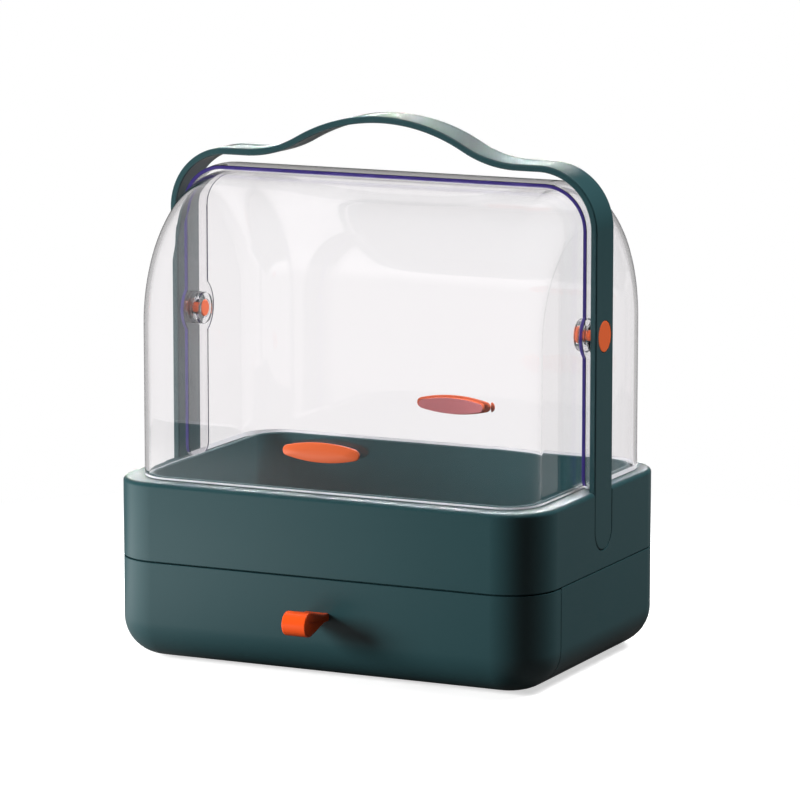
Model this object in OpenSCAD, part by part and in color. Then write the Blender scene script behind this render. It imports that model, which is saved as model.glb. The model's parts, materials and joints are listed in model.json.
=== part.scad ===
// Makeup organizer that keeps out dust: a base with a drawer, an open tray on top of it, and two
// clear covers that swing past each other about one pivot line, under a carrying handle.
// Millimetres. The origin is on the table, under the centre of the base. The front faces -Y.

/* [Base] */
// Width of the base, side to side
base_w = 260; // [250:1:280]
// Depth of the base, front to back
base_d = 180; // [174:1:196]
// Height of the line between the drawer bay and the tray
seam_z = 57; // [55:0.5:60]
// Height of the tray's rim
rim_z = 101; // [98:0.5:108]
// Corner radius of the base, seen from above
corner_r = 28; // [26:0.5:32]
// Rounding of the base's lower edge
bottom_r = 22; // [20:0.5:24]
// Rounding of the tray's upper outer edge
rim_r = 2.4; // [1.6:0.1:2.4]
// Wall of the housing, the tray's skirt and the drawer front
wall = 2.5; // [2.4:0.1:3]
// Depth of the drawer front's side, from the front face to the upright seam
front_wrap = 33; // [30:0.5:36]
// Width of the seam lines
seam_gap = 0.5; // [0.3:0.1:0.8]
// Height of the rubber feet below the housing
foot_h = 1; // [0.6:0.1:2]
// Radius of a rubber foot
foot_r = 7; // [5:0.5:8]
// Distance from the base's side faces to the feet's centres
foot_side_in = 38; // [34:1:46]
// Distance from the upright seam to the front feet's centres
foot_seam_in = 13; // [11:1:17]
// Distance from the base's rear face to the rear feet's centres
foot_rear_in = 32; // [30:1:40]

/* [Tray] */
// Thickness of the ledge that the covers stand over
ledge_t = 2.2; // [2:0.1:3]
// Wall and floor of the tray's bin
bin_wall = 2; // [1.6:0.1:2.4]
// Height of the dust lip above the ledge
lip_h = 1.7; // [1:0.1:3]
// Gap between the dust lip and a cover
lip_gap = 0.8; // [0.6:0.1:1.2]
// Underside of the bin's floor above the seam
bin_rise = 1; // [0.8:0.1:3]

/* [Drawer] */
// Travel of the drawer
drawer_travel = 110; // [80:1:116]
// Space beside the drawer box, to the housing's side wall
box_side_space = 17.5; // [16.5:0.5:27]
// Wall and floor of the drawer box
box_wall = 2; // [1.6:0.1:2.4]
// Gap between the drawer front's panel and the box
front_space = 8.5; // [8:0.5:11]
// Space behind the drawer box
rear_space = 14; // [13:0.5:20]
// Top of the drawer box below the seam
box_top_drop = 5; // [4.5:0.5:10]
// Rounding of the drawer box's lower edges
box_edge_r = 8; // [7:0.5:14]
// Corner radius of the drawer box, seen from above
box_corner_r = 12; // [9:0.5:16]
// Running gap beside and under the drawer box
box_gap = 0.4; // [0.3:0.1:0.6]
// Height of the floor rails that the drawer box slides on
rail_h = 0.6; // [0.5:0.1:1.5]

/* [Covers] */
// Distance from the base's outer faces in to the rear cover
cover_inset = 6.8; // [6.6:0.1:7.4]
// Rounding of the rear cover's side edges
rear_edge_r = 25; // [20:0.5:27]
// Wall of both covers
cover_t = 2.2; // [1.8:0.1:2.4]
// Gap between the two covers
cover_gap = 1.6; // [1.2:0.1:2]
// How far each cover reaches past the pivot line
overlap = 10; // [8:0.5:14]
// Radius of the ear round the front cover's pivot
front_ear_r = 17; // [15:0.5:20]
// Radius of the ear round the rear cover's pivot
rear_ear_r = 15; // [14:0.5:18]
// Rounding of a cover's lower corner beside the pivot line
toe_r = 7; // [6:0.5:10]
// Radius of the moulded hubs
hub_r = 9; // [8:0.5:10]
// Gap between a cover's lower edge and the ledge
cover_lift = 0.3; // [0.25:0.05:0.6]

/* [Handle] */
// Overall height, at the top of the handle
handle_top = 300; // [296:1:310]
// Height of the handle's top above its level shoulders
grip_rise = 21.9; // [18:0.1:24]
// Gap between the top of the rear cover and the handle's shoulders
band_gap = 5.8; // [4:0.1:8]
// Width of the handle band, front to back
band_w = 23.4; // [20:0.2:26]
// Thickness of the handle band
band_t = 3.8; // [3.4:0.1:4]
// Radius of the handle's corners
band_corner_r = 35; // [30:0.5:40]
// Radius of the raised grip
grip_r = 104; // [96:1:112]
// Radius of the hollow curve between grip and shoulder
blend_r = 62; // [54:1:68]
// Lowest point of the handle's legs
leg_z = 67.5; // [66:0.1:70]
// Thickness of the tongue at each leg
tongue_t = 3; // [2.6:0.1:4]
// Height of the tongue above the leg's lowest point
tongue_rise = 2.7; // [2:0.1:4]
// Half of the tongue's width
tongue_half_w = 6; // [5:0.5:8]

/* [Pivots] */
// Radius of the pivot pins
pin_r = 3; // [2.6:0.1:3.4]
// Radial running gap of the covers on the pins
pin_gap = 0.05; // [0.03:0.01:0.1]
// Radius of the pin's outer cap
cap_r = 8.7; // [7.5:0.1:9.5]
// Thickness of the pin's outer cap
cap_t = 1.6; // [1.2:0.1:2.2]
// Radius of the retaining plug's head
plug_head_r = 4.7; // [4.2:0.1:5.2]
// Thickness of the retaining plug's head
plug_head_t = 1.5; // [1.2:0.1:1.8]
// Radius of the retaining plug's stem
plug_r = 1.5; // [1.2:0.1:1.7]
// Length of the retaining plug's stem
plug_len = 6; // [4:0.5:8]
// Depth of the front cover's hub, inward from its wall
hub_depth = 3.4; // [2.8:0.1:4]

/* [Pulls and knob] */
// Width of a cover pull
pull_w = 46; // [38:1:54]
// Height of a cover pull
pull_h = 11; // [9:0.5:13]
// Distance from a cover's face to a pull's front
pull_reach = 6.6; // [5.4:0.1:6.8]
// Thickness of a pull's plate
pull_plate_t = 2.6; // [2:0.1:3.2]
// Height of the pulls' centre above the rim
pull_rise = 24; // [18:0.5:34]
// Width of a pull's foot
pull_foot_w = 40; // [32:1:42]
// Height of a pull's foot
pull_foot_h = 9; // [7:0.2:9.4]
// Radius of the round ends of a pull's foot
pull_foot_end_r = 2.5; // [2:0.1:2.8]
// Thickness of the adhesive pad under a pull
tape_t = 0.4; // [0.3:0.1:0.8]
// Width of the drawer knob
knob_w = 14.5; // [12:0.5:20]
// Radius of the knob's round front
knob_r = 6.7; // [5.6:0.1:8]
// Distance from the drawer's face to the centre of the knob's round front
knob_reach = 22; // [18:0.5:26]
// Height of the knob's centre
knob_z = 36; // [33:0.5:39]
// Thickness of the knob's neck
neck_t = 4.4; // [4.2:0.1:5.5]
// Length of the knob's level neck
neck_len = 5; // [3:0.5:7]
// Width of the slot in the knob's ends
slot_t = 0.5; // [0.3:0.1:0.8]

/* [Screws] */
// Radius of the screws' shanks
screw_r = 1.4; // [1.2:0.05:1.5]
// Radius of the screws' heads
head_r = 2.9; // [2.4:0.1:3.2]
// Thickness of the screws' heads
head_t = 1.8; // [1.4:0.1:2]
// Width of the cross slots in the screws' heads
drive_w = 0.8; // [0.6:0.1:1]
// Length of the cross slots
drive_l = 3.5; // [3:0.1:4]
// Depth of the cross slots
drive_d = 0.9; // [0.6:0.1:1]
// Length that the upright screws hold in their bosses
screw_hold = 11; // [8:0.5:12]
// Radius of the bosses that take the screws
boss_r = 3.7; // [3.4:0.1:3.9]

/* [Hidden] */
$fn = 96;
// Facets round the ovals and the handle's curves
fine_fn = 360;
// Extra length by which a cutting shape passes a face
cut = 1;
// Small gap where a piece lies in its seat
seat_gap = 0.3;
// Radial gap of a fixed pin or screw in its hole
hole_gap = 0.05;
// Radial gap of a screw in the piece that it clamps
screw_play = 0.2;
// Depth by which two forms of one moulding run into each other
bite = 1;
// Length by which a hole runs past its screw or plug
hole_spare = 1;

// Faces and heights of the base
front_y = -base_d / 2;
side_x = base_w / 2;
housing_z = foot_h;
seat_z = seam_z - seam_gap / 2;
floor_z = housing_z + wall;
wrap_y = front_y + front_wrap;
groove_d = wall / 2;
foot_x = side_x - foot_side_in;
foot_ys = [wrap_y + foot_seam_in, base_d / 2 - foot_rear_in];

// Covers' reach and their pivot line, which lies below the handle by the radius of the rear arch
rear_half_w = side_x - cover_inset;
rear_arch_r = base_d / 2 - cover_inset;
shoulder_z = handle_top - grip_rise;
pivot_z = shoulder_z - band_t - band_gap - rear_arch_r;

// Handle band
band_in_x = side_x - band_t;
grip_z = handle_top - grip_r;
blend_z = shoulder_z + blend_r;
blend_x = sqrt(pow(grip_r + blend_r, 2) - pow(blend_z - grip_z, 2));
grip_turn = atan2(blend_x, blend_z - grip_z);
// How far the hollow curve cuts into the grip and the shoulder, so that each pair of curves crosses
crossing = 0.02;
// Drop of the filled corner below the point where grip and hollow curve meet
fill_drop = 0.3;
leg_end_z = leg_z + band_w / 2;
tongue_z = leg_z + tongue_rise;
slot_x = band_in_x - seat_gap;
slot_wall_x = slot_x - bin_wall;
tongue_gap = 0.6;

// Covers
front_half_w = rear_half_w - cover_t - cover_gap;
front_arch_r = rear_arch_r - cover_t - cover_gap;
front_edge_r = rear_edge_r - cover_t - cover_gap;
cover_z = rim_z + cover_lift;
front_in_x = front_half_w - cover_t;
hub_in_x = front_in_x - hub_depth;
spacer_t = cover_gap - seat_gap;
spacer_r = 6;

// Tray bin, set out from the insides of the two covers
bin_half_w = front_in_x - lip_gap;
bin_front_y = -(front_arch_r - cover_t - lip_gap);
bin_rear_y = rear_arch_r - cover_t - lip_gap;
bin_corner_r = front_edge_r - cover_t - lip_gap;
bin_z = seam_z + bin_rise;
bin_top_z = rim_z + lip_h;
ledge_z = rim_z - ledge_t;

// Drawer
front_top_z = seat_z - seat_gap;
box_front_y = front_y + wall + front_space;
box_rear_y = base_d / 2 - wall - rear_space;
box_z = floor_z + rail_h + box_gap;
box_top_z = seam_z - box_top_drop;
box_half_w = side_x - wall - box_side_space;
guide_in_x = box_half_w + box_gap;
guide_t = 1.8;
guide_lead = 3;
guide_y = wrap_y + guide_lead;
guide_len = base_d / 2 - bottom_r - guide_y;
rail_w = 3;
stop_half_w = 10;
stop_in = 50;
stop_x = box_half_w - stop_in;
stop_t = 3;
stop_gap = 2.4;
stop_z = box_top_z + stop_gap;
tab_gap = 1.4;
tab_top_z = bin_z - tab_gap;
stop_y = box_rear_y - box_wall - drawer_travel - seat_gap;
drawer_screw_in = 30;
drawer_screw_x = box_half_w - drawer_screw_in;
drawer_screw_low = 18;
drawer_screw_high = 6;
drawer_screws_z = [box_z + drawer_screw_low, box_top_z - drawer_screw_high];

// Housing screws and the ears that they pass through
ear_t = 2.5;
ear_half_l = 7;
ear_reach = 12;
ear_in_x = side_x - wall - ear_reach;
boss_gap = 3.3;
boss_x = side_x - wall - boss_r - boss_gap;
boss_bite = 0.3;
handle_boss_x = slot_wall_x - boss_r + boss_bite;

// Pivot pins, measured from the middle plane
cap_x = side_x - cap_t;
plug_gap = 0.1;
pin_in_x = hub_in_x + plug_head_t + plug_gap;
plug_depth = plug_len + hole_spare;

// Pulls and knob
pull_z = rim_z + pull_rise;
pull_end_r = 3;
dish_d = 0.7;
dish_edge = 1.3;
knob_y = front_y - knob_reach;
neck_y = front_y - neck_len;
knob_screw_hold = 12;
knob_steps = 60;
slot_start = 2;
slot_rise = 1.4;
slot_tilt = 9;

// Colours
green = [0.17, 0.27, 0.28];
orange = [0.93, 0.36, 0.13];
clear = [0.93, 0.94, 0.96, 0.35];
rubber = [0.12, 0.12, 0.13];
steel = [0.7, 0.7, 0.72];
adhesive = [0.8, 0.45, 0.4];

// Turns a shape drawn on the YZ plane and raised along its own Z to run along X
module along_x() rotate([90, 0, 90]) children();

// Turns a shape drawn on the XZ plane to run along Y, towards the front
module along_y() rotate([90, 0, 0]) children();

// Repeats what is drawn at the right side at the left side too
module both_sides() {
    children();
    mirror([1, 0, 0]) children();
}

// Rectangle from low to high with round corners
module round_rect(low, high, r) {
    size = high - low;
    translate([low[0] + r, low[1]]) square([size[0] - 2 * r, size[1]]);
    translate([low[0], low[1] + r]) square([size[0], size[1] - 2 * r]);
    for (x = [low[0] + r, high[0] - r], y = [low[1] + r, high[1] - r]) translate([x, y]) circle(r);
}

// Oval with round ends and bowed long sides
module oval(w, h, end_r) {
    $fn = fine_fn;
    end_x = w / 2 - end_r;
    side_r = (pow(end_x, 2) + pow(h / 2, 2) - pow(end_r, 2)) / (h - 2 * end_r);
    side_y = side_r - h / 2;
    meet_x = end_x * side_r / (side_r - end_r);
    intersection() {
        translate([0, -side_y]) circle(side_r);
        translate([0, side_y]) circle(side_r);
        translate([-meet_x, -h / 2]) square([2 * meet_x, h]);
    }
    for (s = [-1, 1]) translate([s * end_x, 0]) circle(end_r);
}

// Straight sides from z0 to z1 with lower corners of radius r
module tub_section(half, r, z0, z1) {
    translate([-half, z0 + r]) square([2 * half, z1 - z0 - r]);
    translate([-half + r, z0]) square([2 * (half - r), z1 - z0]);
    for (s = [-1, 1]) translate([s * (half - r), z0 + r]) circle(r);
}

// Block with upright corners of radius cr and a lower edge of radius er
module tub(hw, hd, cr, er, z0, z1) {
    along_x() linear_extrude(2 * (hw - cr), center = true) tub_section(hd, er, z0, z1);
    along_y() linear_extrude(2 * (hd - cr), center = true) tub_section(hw, er, z0, z1);
    for (q = [0:3]) {
        x = (q == 0 || q == 3) ? hw - cr : cr - hw;
        y = (q < 2) ? hd - cr : cr - hd;
        translate([x, y, 0]) rotate([0, 0, 90 * q]) rotate_extrude(angle = 90)
            intersection() {
                tub_section(cr, er, z0, z1);
                translate([0, z0]) square([cr, z1 - z0]);
            }
    }
}

// Hollow lower body of the base, before it is parted into housing and drawer front
module base_shell(top_z) {
    difference() {
        tub(side_x, base_d / 2, corner_r, bottom_r, housing_z, top_z);
        tub(side_x - wall, base_d / 2 - wall, corner_r - wall, bottom_r - wall, floor_z, top_z + cut);
    }
}

// Screw that points up, with its head's seat at the origin
module screw(len) {
    cylinder(r = screw_r, h = len);
    difference() {
        translate([0, 0, -head_t]) cylinder(r = head_r, h = head_t);
        for (a = [0, 90]) rotate([0, 0, a])
            translate([-drive_l / 2, -drive_w / 2, -head_t - cut]) cube([drive_l, drive_w, cut + drive_d]);
    }
}

// Housing: floor, sides and back of the drawer bay
module lower_housing() {
    color(green) difference() {
        union() {
            intersection() {
                base_shell(seat_z);
                translate([-base_w, wrap_y + seam_gap / 2, 0]) cube([2 * base_w, base_d, seam_z]);
            }
            // Guide walls and floor rails of the drawer
            both_sides() {
                translate([guide_in_x, guide_y, floor_z - wall / 2])
                    cube([guide_t, guide_len, box_top_z - floor_z]);
                translate([stop_x, guide_y, floor_z - wall / 2]) cube([rail_w, guide_len, wall / 2 + rail_h]);
                for (y = foot_ys) translate([ear_in_x, y - ear_half_l, seat_z - ear_t])
                    cube([side_x - wall / 2 - ear_in_x, 2 * ear_half_l, ear_t]);
            }
        }
        both_sides() for (y = foot_ys) {
            translate([boss_x, y, seat_z - ear_t - cut])
                cylinder(r = screw_r + screw_play, h = ear_t + 2 * cut);
            translate([foot_x, y, 0]) cylinder(r = foot_r + screw_play, h = foot_h + wall / 2);
        }
    }
}

// Plan of the bin, grown by the given amount
module bin_plan(grow) {
    round_rect([-bin_half_w - grow, bin_front_y - grow], [bin_half_w + grow, bin_rear_y + grow],
        bin_corner_r + grow);
}

// Outline of a handle leg up to the given height, grown by the given amount
module leg_outline(grow, top_z) {
    r = band_w / 2 + grow;
    intersection() {
        translate([0, leg_end_z]) circle(r);
        translate([-r, leg_end_z - r]) square([2 * r, r]);
    }
    translate([-r, leg_end_z]) square([2 * r, top_z - leg_end_z]);
}

// Tray: skirt, ledge, dust lip and bin, with slots for the handle's legs
module upper_tray() {
    color(green) difference() {
        union() {
            difference() {
                translate([0, 0, rim_z]) mirror([0, 0, 1])
                    tub(side_x, base_d / 2, corner_r, rim_r, 0, rim_z - seat_z);
                translate([0, 0, seat_z - cut]) linear_extrude(ledge_z - seat_z + cut)
                    round_rect([-side_x + wall, front_y + wall], [side_x - wall, -front_y - wall],
                        corner_r - wall);
            }
            translate([0, 0, bin_z]) linear_extrude(bin_top_z - bin_z) bin_plan(0);
            both_sides() {
                // Back wall of the leg's slot, and the boss over the leg's tongue
                translate([slot_wall_x, 0, 0]) along_x() linear_extrude(side_x - wall / 2 - slot_wall_x)
                    leg_outline(seat_gap + bin_wall, ledge_z + bite);
                translate([handle_boss_x, 0, tongue_z + tongue_t])
                    cylinder(r = boss_r, h = ledge_z - tongue_z - tongue_t + bite);
                for (y = foot_ys) translate([boss_x, y, seat_z])
                    cylinder(r = boss_r, h = ledge_z - seat_z + bite);
                // Stop for the drawer's tab
                translate([stop_x - stop_half_w, stop_y - stop_t, stop_z])
                    cube([2 * stop_half_w, stop_t, bin_z - stop_z + bin_wall / 2]);
            }
        }
        translate([0, 0, bin_z + bin_wall]) linear_extrude(bin_top_z - bin_z) bin_plan(-bin_wall);
        both_sides() {
            translate([slot_x, 0, 0]) along_x()
                linear_extrude(band_t + cut) leg_outline(seat_gap, rim_z + cut);
            // Window for the tongue, and the screw holes
            translate([slot_wall_x - cut, -tongue_half_w - seat_gap, tongue_z - seat_gap])
                cube([bin_wall + 2 * cut, 2 * (tongue_half_w + seat_gap), tongue_t + seat_gap]);
            translate([handle_boss_x, 0, tongue_z])
                cylinder(r = screw_r + hole_gap, h = tongue_t + screw_hold + hole_spare);
            for (y = foot_ys) translate([boss_x, y, seat_z - cut])
                cylinder(r = screw_r + hole_gap, h = cut + screw_hold + hole_spare);
        }
        // Shadow line above the seam
        difference() {
            translate([-base_w, -base_d, seat_z - cut]) cube([2 * base_w, 2 * base_d, seam_gap + cut]);
            translate([0, 0, seat_z - 2 * cut]) linear_extrude(seam_gap + 4 * cut)
                round_rect([-side_x + groove_d, front_y + groove_d], [side_x - groove_d, -front_y - groove_d],
                    corner_r - groove_d);
        }
    }
}

// All that lies under the handle's outer face on the XZ plane, or under its inner one with an inset
module under_band(inset) {
    $fn = fine_fn;
    join_z = grip_z + (grip_r - inset) * cos(grip_turn);
    r = band_corner_r - inset;
    round_rect([inset - side_x, leg_z - 2 * band_corner_r], [side_x - inset, shoulder_z - inset], r);
    translate([0, grip_z]) circle(grip_r - inset);
    // Corner between grip and shoulder, filled up to the hollow curve
    difference() {
        translate([-blend_x, shoulder_z - 2 * band_t])
            square([2 * blend_x, join_z - fill_drop - shoulder_z + 2 * band_t]);
        for (s = [-1, 1]) translate([s * blend_x, blend_z]) circle(blend_r + inset + crossing);
    }
}

// Handle band, one piece from side to side, with a tongue inside each leg
module handle_band() {
    color(green) difference() {
        union() {
            intersection() {
                along_y() linear_extrude(2 * band_w, center = true) difference() {
                    under_band(0);
                    under_band(band_t);
                }
                along_x() linear_extrude(2 * base_w, center = true) leg_outline(0, handle_top + cut);
            }
            both_sides() translate([bin_half_w + tongue_gap, -tongue_half_w, tongue_z])
                cube([band_in_x + band_t / 2 - bin_half_w - tongue_gap, 2 * tongue_half_w, tongue_t]);
        }
        both_sides() {
            translate([handle_boss_x, 0, tongue_z - cut])
                cylinder(r = screw_r + screw_play, h = tongue_t + 2 * cut);
            translate([band_in_x - cut, 0, pivot_z]) along_x()
                cylinder(r = pin_r + hole_gap, h = band_t + 2 * cut);
            translate([cap_x, 0, pivot_z]) along_x() cylinder(r = cap_r + hole_gap, h = cap_t + cut);
        }
    }
}

// Closed solid under a cover's surface: an arch over straight walls, with round side edges
module cover_solid(half_w, arch_r, edge_r, z0) {
    translate([0, 0, pivot_z]) along_x() rotate_extrude(angle = 180) intersection() {
        round_rect([-arch_r, -half_w], [arch_r, half_w], edge_r);
        translate([0, -half_w]) square([arch_r, 2 * half_w]);
    }
    translate([0, 0, z0]) linear_extrude(pivot_z - z0)
        round_rect([-half_w, -arch_r], [half_w, arch_r], edge_r);
}

// Thin shell of a cover, still a whole arch
module cover_shell(half_w, arch_r, edge_r) {
    difference() {
        cover_solid(half_w, arch_r, edge_r, cover_z);
        cover_solid(half_w - cover_t, arch_r - cover_t, edge_r - cover_t, cover_z - cut);
    }
}

// Side view of the part that a cover keeps, for one that lies on the -Y side
module cover_side(ear_r) {
    deep = 2 * base_d;
    translate([overlap - deep, cover_z + toe_r]) square([deep, handle_top]);
    translate([overlap - toe_r - deep, cover_z]) square([deep, handle_top]);
    translate([overlap - toe_r, cover_z + toe_r]) circle(toe_r);
    translate([0, pivot_z]) circle(ear_r);
}

// Front cover, the inner one, with hubs that stand inward
module front_cover() {
    color(clear) difference() {
        union() {
            intersection() {
                cover_shell(front_half_w, front_arch_r, front_edge_r);
                along_x() linear_extrude(base_w, center = true) cover_side(front_ear_r);
            }
            both_sides() {
                translate([hub_in_x, 0, pivot_z]) along_x() cylinder(r = hub_r, h = hub_depth + cover_t / 2);
                translate([front_half_w - cover_t / 2, 0, pivot_z]) along_x()
                    cylinder(r = spacer_r, h = cover_t / 2 + spacer_t);
            }
        }
        both_sides() {
            translate([hub_in_x - cut, 0, pivot_z]) along_x()
                cylinder(r = pin_r + pin_gap, h = hub_depth + cover_t + spacer_t + 2 * cut);
            translate([hub_in_x - cut, 0, pivot_z]) along_x()
                cylinder(r = plug_head_r + seat_gap, h = cut + plug_head_t + seat_gap);
        }
    }
}

// Rear cover, the outer one, with hubs that stand outward to the handle
module rear_cover() {
    color(clear) difference() {
        union() {
            intersection() {
                cover_shell(rear_half_w, rear_arch_r, rear_edge_r);
                along_x() linear_extrude(base_w, center = true) mirror([1, 0]) cover_side(rear_ear_r);
            }
            both_sides() translate([rear_half_w - cover_t / 2, 0, pivot_z]) along_x()
                cylinder(r = hub_r, h = band_in_x - seat_gap - rear_half_w + cover_t / 2);
        }
        both_sides() translate([rear_half_w - cover_t - cut, 0, pivot_z]) along_x()
            cylinder(r = pin_r + pin_gap, h = cover_t + band_in_x - rear_half_w + 2 * cut);
    }
}

// Pull with a dished oval face on a smaller foot, standing on its back at the origin, front to +Z
module pull() {
    plate_z = pull_reach - tape_t - pull_plate_t;
    color(orange) difference() {
        union() {
            linear_extrude(plate_z + bite) oval(pull_foot_w, pull_foot_h, pull_foot_end_r);
            translate([0, 0, plate_z]) linear_extrude(pull_plate_t) oval(pull_w, pull_h, pull_end_r);
        }
        translate([0, 0, plate_z + pull_plate_t - dish_d]) linear_extrude(dish_d + cut)
            oval(pull_w - 2 * dish_edge, pull_h - 2 * dish_edge, pull_end_r - dish_edge);
    }
}

module front_pull() translate([0, -front_arch_r - tape_t, pull_z]) along_y() pull();
module rear_pull() translate([0, rear_arch_r + tape_t, pull_z]) rotate([0, 0, 180]) along_y() pull();

// Adhesive pad between a pull's foot and its cover
module pull_pad() color(adhesive) linear_extrude(tape_t) oval(pull_foot_w, pull_foot_h, pull_foot_end_r);
module front_pull_pad() translate([0, -front_arch_r, pull_z]) along_y() pull_pad();
module rear_pull_pad() translate([0, rear_arch_r, pull_z]) rotate([0, 0, 180]) along_y() pull_pad();

// Right pivot pin: a cap set flush in the handle, and a shaft with a hole for the plug
module pin() {
    color(orange) translate([0, 0, pivot_z]) along_x() difference() {
        union() {
            translate([0, 0, cap_x + hole_gap]) cylinder(r = cap_r, h = cap_t - hole_gap);
            translate([0, 0, pin_in_x]) cylinder(r = pin_r, h = cap_x - pin_in_x + bite);
        }
        translate([0, 0, pin_in_x - cut]) cylinder(r = plug_r + hole_gap, h = plug_depth + cut);
    }
}
module pivot_pin_right() pin();
module pivot_pin_left() mirror([1, 0, 0]) pin();

// Right plug, which closes the pin's inner end and holds the covers on it
module plug() {
    color(orange) translate([0, 0, pivot_z]) along_x() {
        translate([0, 0, hub_in_x]) cylinder(r = plug_head_r, h = plug_head_t);
        translate([0, 0, hub_in_x + plug_head_t / 2]) cylinder(r = plug_r, h = plug_head_t / 2 + plug_len);
    }
}
module pivot_plug_right() plug();
module pivot_plug_left() mirror([1, 0, 0]) plug();

// Drawer box, open at the top, with two tabs at the back that meet the tray's stops
module drawer_box() {
    half_d = (box_rear_y - box_front_y) / 2;
    mid_y = (box_rear_y + box_front_y) / 2;
    color(green) difference() {
        union() {
            translate([0, mid_y, 0]) tub(box_half_w, half_d, box_corner_r, box_edge_r, box_z, box_top_z);
            both_sides() translate([stop_x - stop_half_w, box_rear_y - box_wall, box_top_z - bite])
                cube([2 * stop_half_w, box_wall, tab_top_z - box_top_z + bite]);
        }
        translate([0, mid_y, 0]) tub(box_half_w - box_wall, half_d - box_wall, box_corner_r - box_wall,
            box_edge_r - box_wall, box_z + box_wall, box_top_z + cut);
        both_sides() for (z = drawer_screws_z) translate([drawer_screw_x, box_front_y + box_wall + cut, z])
            along_y() cylinder(r = screw_r + screw_play, h = box_wall + 2 * cut);
    }
}

// Drawer front: the front of the base, wrapped round both corners, with bosses for the box
module drawer_front() {
    color(green) difference() {
        union() {
            intersection() {
                base_shell(front_top_z);
                translate([-base_w, wrap_y - seam_gap / 2 - base_d, 0]) cube([2 * base_w, base_d, seam_z]);
            }
            both_sides() for (z = drawer_screws_z) translate([drawer_screw_x, box_front_y, z])
                along_y() cylinder(r = boss_r, h = front_space + wall / 2);
        }
        both_sides() for (z = drawer_screws_z) translate([drawer_screw_x, box_front_y + cut, z])
            along_y() cylinder(r = screw_r + hole_gap, h = front_space + cut);
        translate([0, front_y + wall + cut, knob_z]) along_y()
            cylinder(r = screw_r + screw_play, h = wall + 2 * cut);
    }
}

// Side view of the knob: a round front that tapers to a level neck at the drawer's face
module knob_side() {
    rise = neck_t / 2;
    run = neck_y - knob_y;
    start = acos(knob_r / norm([run, rise])) + atan2(rise, run);
    step = (360 - 2 * start) / knob_steps;
    round = [for (i = [0:knob_steps]) let (a = start + i * step) knob_r * [cos(a), sin(a)]];
    neck = [[run, -rise], [run + neck_len, -rise], [run + neck_len, rise], [run, rise]];
    translate([knob_y, knob_z]) polygon(concat(round, neck));
}

// Drawer knob, with a fine slot across each end
module drawer_knob() {
    color(orange) difference() {
        along_x() linear_extrude(knob_w, center = true) knob_side();
        both_sides() translate([knob_w / 2 - slot_t, knob_y - slot_start, knob_z + slot_rise])
            rotate([-slot_tilt, 0, 0]) cube([slot_t + cut, neck_y - knob_y, slot_t]);
        translate([0, front_y + cut, knob_z]) along_y()
            cylinder(r = screw_r + hole_gap, h = cut + knob_screw_hold + hole_spare);
    }
}

module knob_screw() {
    color(steel) translate([0, front_y + wall, knob_z]) along_y() screw(wall + knob_screw_hold);
}

module drawer_front_screws() {
    color(steel) both_sides() for (z = drawer_screws_z)
        translate([drawer_screw_x, box_front_y + box_wall, z]) along_y()
            screw(box_wall + front_space - hole_spare);
}

module handle_screws() {
    color(steel) both_sides() translate([handle_boss_x, 0, tongue_z]) screw(tongue_t + screw_hold);
}

module housing_screws() {
    color(steel) both_sides() for (y = foot_ys)
        translate([boss_x, y, seat_z - ear_t]) screw(ear_t + screw_hold);
}

// Rubber foot in a round pocket of the housing's underside
module foot(x, y) color(rubber) translate([x, y, 0]) cylinder(r = foot_r, h = foot_h + wall / 2);
module foot_front_left() foot(-foot_x, foot_ys[0]);
module foot_front_right() foot(foot_x, foot_ys[0]);
module foot_rear_left() foot(-foot_x, foot_ys[1]);
module foot_rear_right() foot(foot_x, foot_ys[1]);

lower_housing();
upper_tray();
handle_band();
front_cover();
rear_cover();
front_pull();
rear_pull();
front_pull_pad();
rear_pull_pad();
pivot_pin_left();
pivot_pin_right();
pivot_plug_left();
pivot_plug_right();
drawer_box();
drawer_front();
drawer_knob();
knob_screw();
drawer_front_screws();
handle_screws();
housing_screws();
foot_front_left();
foot_front_right();
foot_rear_left();
foot_rear_right();
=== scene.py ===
"""Studio scene of a makeup organizer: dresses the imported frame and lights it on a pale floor."""
import json
import math

import bmesh
import bpy
from mathutils import Matrix, Vector

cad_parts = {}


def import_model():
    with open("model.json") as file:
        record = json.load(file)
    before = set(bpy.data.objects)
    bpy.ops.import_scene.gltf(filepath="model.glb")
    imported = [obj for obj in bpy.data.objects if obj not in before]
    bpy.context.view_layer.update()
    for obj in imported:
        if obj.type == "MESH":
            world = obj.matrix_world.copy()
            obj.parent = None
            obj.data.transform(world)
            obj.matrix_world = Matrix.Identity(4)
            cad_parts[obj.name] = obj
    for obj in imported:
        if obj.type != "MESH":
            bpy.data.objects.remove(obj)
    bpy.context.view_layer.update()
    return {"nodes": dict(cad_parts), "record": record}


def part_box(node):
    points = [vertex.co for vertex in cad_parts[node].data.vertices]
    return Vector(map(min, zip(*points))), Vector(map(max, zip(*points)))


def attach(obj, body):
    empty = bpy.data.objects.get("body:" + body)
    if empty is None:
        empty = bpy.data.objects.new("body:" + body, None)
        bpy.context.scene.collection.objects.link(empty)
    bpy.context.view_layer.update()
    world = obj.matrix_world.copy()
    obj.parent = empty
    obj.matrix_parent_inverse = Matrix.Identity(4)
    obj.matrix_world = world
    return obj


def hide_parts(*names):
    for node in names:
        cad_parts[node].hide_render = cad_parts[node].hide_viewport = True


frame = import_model()

# The object's lengths are in millimetres in the frame's own axes, and its meshes are scaled to
# metres as they are made. Lengths of the camera, the lamps and the floor's light are in metres.
MM = 0.001
SIDES = ((-1, "left"), (1, "right"))  # sign along X, and name
PAST = 1.0  # reach of a cutter, or of a joined block, past the face that it meets
HAIR_GAP = 0.05  # between faces of two pieces that would otherwise lie in one plane
SAME_POINT = 0.0005  # corners closer than this are one

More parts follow.
